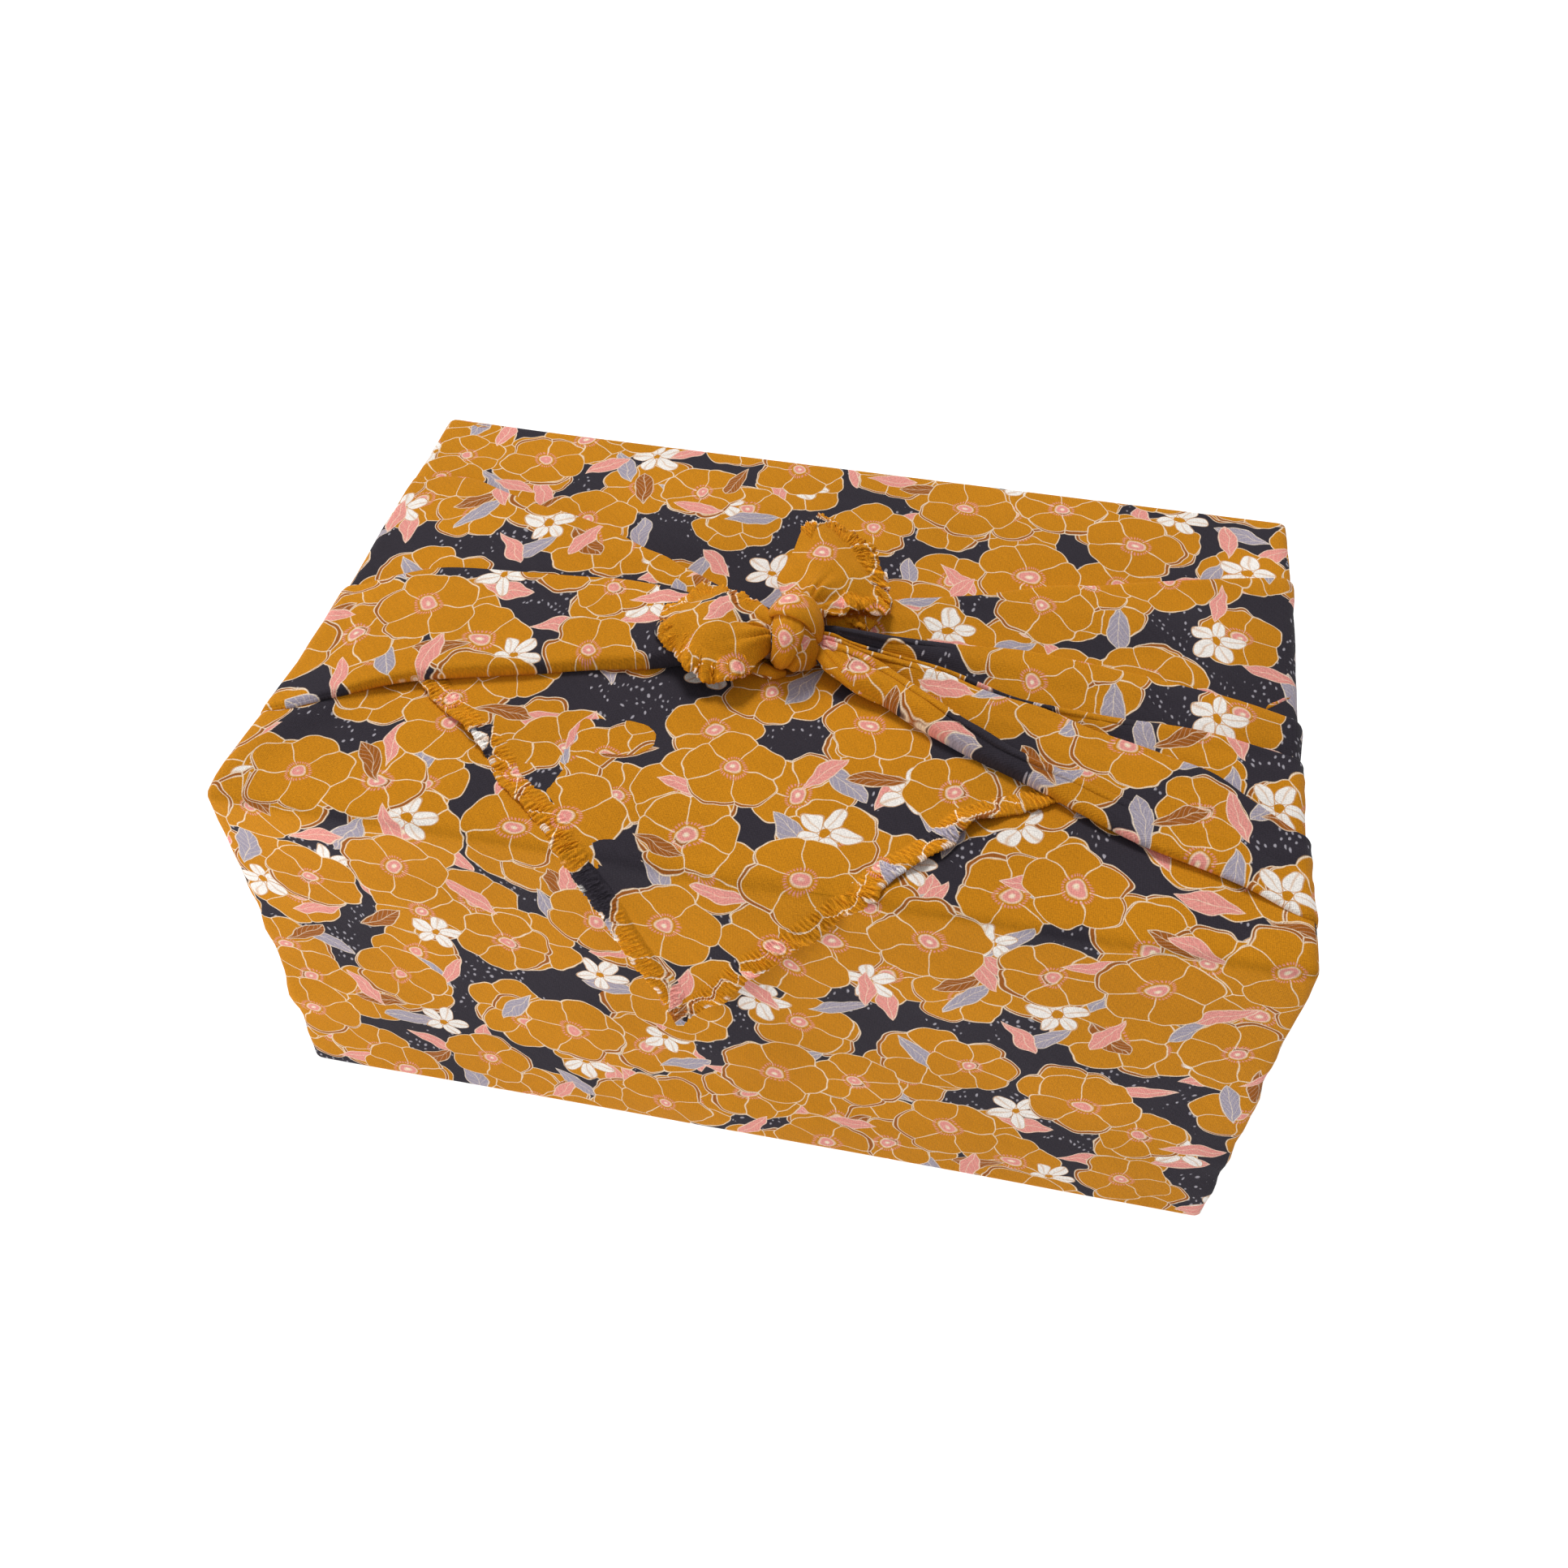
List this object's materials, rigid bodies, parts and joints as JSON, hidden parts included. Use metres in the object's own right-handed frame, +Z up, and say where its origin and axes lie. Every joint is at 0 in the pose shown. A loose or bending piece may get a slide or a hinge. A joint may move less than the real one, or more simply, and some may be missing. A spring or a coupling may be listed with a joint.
{
  "type": "furoshiki wrap",
  "caption": "Square printed cloth folded round a box-shaped space, its last corner hanging down the front as a stitched flap, tied on top in a knot with two leaf-shaped free ends.",
  "frame": {"origin": "centre of the bounding box in X and Y, at the flat base that the wrap stands on", "axes": "+Z up; X along the wrap's long side; the hanging flap faces -Y"},
  "size_m": [0.3052, 0.1988, 0.1571],
  "materials": {
    "printed_cloth": "matte cotton with a fine diagonal grain, printed with mustard blossoms, pink, lavender and rust leaves and small white flowers on charcoal; overlocked border"
  },
  "bodies": {
    "root": {"furoshiki_cloth": "printed_cloth"}
  },
  "joints": []
}
